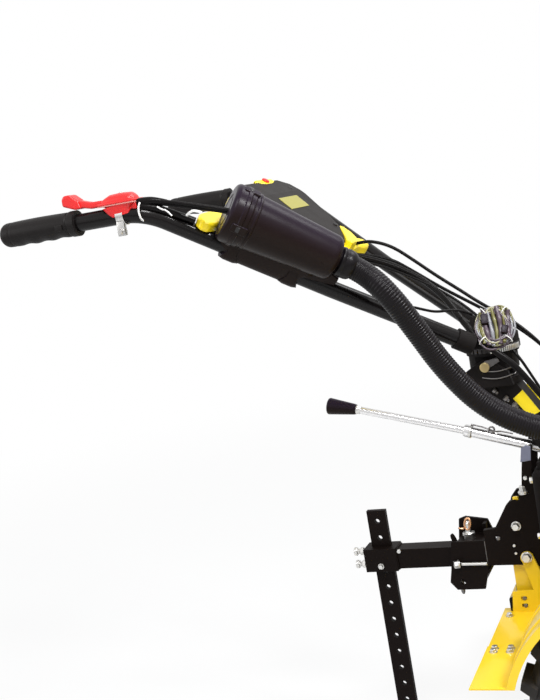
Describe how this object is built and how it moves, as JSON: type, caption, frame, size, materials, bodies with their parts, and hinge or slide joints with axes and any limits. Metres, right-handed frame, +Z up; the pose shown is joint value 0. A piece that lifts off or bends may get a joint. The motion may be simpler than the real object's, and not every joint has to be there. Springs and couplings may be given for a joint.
{
  "type": "walk-behind garden tiller",
  "caption": "Two-wheeled walk-behind garden tiller with a front engine, gearbox, turning and tilting handlebar with air filter and console, and a rear hitch with a drag stake.",
  "frame": {"origin": "on the floor, midway between the grips' ends and the bumper, on the machine's centre plane", "axes": "+X forward, +Y to the operator's left, +Z up"},
  "size_m": [1.58, 0.674, 1.086],
  "materials": {
    "tyre_rubber": "matt",
    "yellow_paint": "gloss",
    "zinc_steel": "satin",
    "black_casting": "painted satin",
    "black_paint": "gloss",
    "engine_casting": "cast",
    "engine_cover": "satin",
    "tank_paint": "gloss",
    "black_plastic": "satin",
    "yellow_plastic": "gloss",
    "red_plastic": "gloss",
    "black_rubber": "satin",
    "tinned_wire": "satin"
  },
  "bodies": {
    "chassis": {"cables_lower": "black_rubber", "carburettor": "engine_casting", "column_base": "black_casting", "cylinder": "engine_casting", "engine_bed": "black_paint", "engine_block": "engine_casting", "fan_shroud": "engine_cover", "fender_left": "yellow_paint", "fender_right": "yellow_paint", "fender_stay_left": "yellow_paint", "fender_stay_right": "yellow_paint", "front_bumper": "black_paint", "fuel_cap": "black_plastic", "fuel_tank": "tank_paint", "gear_knob": "black_plastic", "gear_lever": "zinc_steel", "gearbox_case": "black_casting", "hitch_bracket": "black_paint", "hitch_pin": "zinc_steel", "hitch_plate_left": "black_paint", "hitch_plate_right": "black_paint", "hose_lower": "black_rubber", "muffler": "engine_cover", "recoil_starter": "engine_cover", "tank_bracket": "black_paint", "tilt_bolt": "zinc_steel", "valve_cover": "engine_cover"},
    "axle": {"axle_shaft": "zinc_steel", "rim_left": "yellow_paint", "rim_right": "yellow_paint", "tyre_left": "tyre_rubber", "tyre_right": "tyre_rubber"},
    "stand": {"front_stand": "black_paint"},
    "head": {"column_head": "black_casting"},
    "handlebar": {"yoke": "black_casting", "serrated_ring": "zinc_steel", "lock_knob": "black_plastic", "wire_bundle": "tinned_wire", "handle_tube_left": "black_paint", "handle_tube_right": "black_paint", "grip_left": "black_rubber", "grip_right": "black_rubber", "console_straps": "black_paint", "console_tray": "yellow_plastic", "console_lid": "black_plastic", "filter_body": "black_plastic", "filter_cap": "black_plastic", "filter_outlet": "black_plastic", "filter_saddles": "black_paint", "throttle_clamp": "zinc_steel", "throttle_lever": "red_plastic", "clutch_lever": "black_paint", "cables_upper": "black_rubber", "hose_upper": "black_rubber", "throttle_cable": "black_rubber"},
    "drawbar": {"drawbar": "black_paint", "stake_clamp": "black_paint"},
    "stake": {"drag_stake": "black_paint"}
  },
  "joints": [
    {"name": "axle_spin", "type": "hinge", "parent": "chassis", "child": "axle", "pos_m": [0.135, 0, 0.2], "axis": [0, 1, 0], "continuous": true},
    {"name": "stand_fold", "type": "hinge", "parent": "chassis", "child": "stand", "pos_m": [0.485, 0, 0.3175], "axis": [0, -1, 0], "range_deg": [0, 75]},
    {"name": "handlebar_tilt", "type": "hinge", "parent": "chassis", "child": "head", "pos_m": [-0.094, 0, 0.692], "axis": [0, 1, 0], "range_deg": [-10, 10], "deforming": ["hose_lower", "cables_lower"]},
    {"name": "handlebar_turn", "type": "hinge", "parent": "head", "child": "handlebar", "pos_m": [-0.087, 0, 0.714], "axis": [0, 0, 1], "range_deg": [-30, 30], "deforming": ["hose_upper", "cables_upper"]},
    {"name": "drawbar_swing", "type": "hinge", "parent": "chassis", "child": "drawbar", "pos_m": [-0.176, 0, 0.357], "axis": [0, 0, 1], "range_deg": [-10, 10]},
    {"name": "stake_slide", "type": "slide", "parent": "drawbar", "child": "stake", "axis": [0, 0, 1], "range_m": [-0.025, 0.124]}
  ]
}
